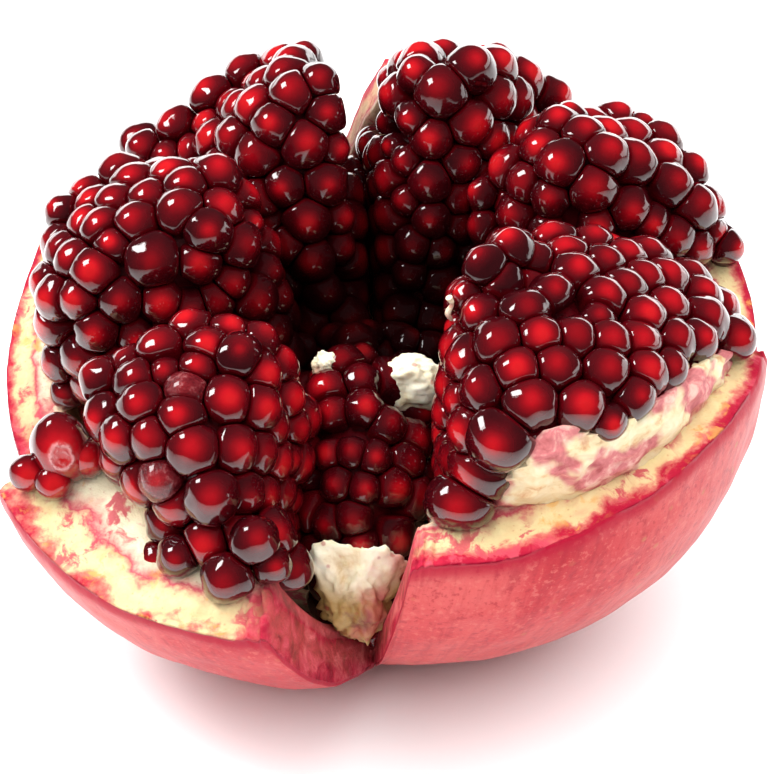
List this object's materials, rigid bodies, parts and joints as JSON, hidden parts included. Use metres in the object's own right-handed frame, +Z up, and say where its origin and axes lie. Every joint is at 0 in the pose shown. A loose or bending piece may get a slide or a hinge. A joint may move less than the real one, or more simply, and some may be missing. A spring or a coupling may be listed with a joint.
{
  "type": "open pomegranate",
  "caption": "Pomegranate cut and pulled open into petals of rind, with clusters of red arils standing on them.",
  "frame": {"origin": "centre of the flat spot under the fruit that it rests on", "axes": "+Z up; the torn front notch faces -Y; +X to the right as seen from the front"},
  "size_m": [0.1148, 0.1059, 0.0804],
  "materials": {
    "rind": "waxy satin skin, coral pink to crimson, with a cream cut face",
    "arils": "wet glossy dark red",
    "pith": "soft matte cream"
  },
  "bodies": {
    "root": {"rind": "rind", "arils_front_right": "arils", "arils_back_right": "arils", "arils_back_center": "arils", "arils_back_left": "arils", "arils_left": "arils", "arils_front_left": "arils", "arils_center": "arils", "aril_loose_1": "arils", "aril_loose_2": "arils", "aril_loose_3": "arils", "aril_loose_4": "arils", "pith_center": "pith", "pith_left": "pith", "pith_front": "pith", "fibre": "pith"}
  },
  "joints": []
}
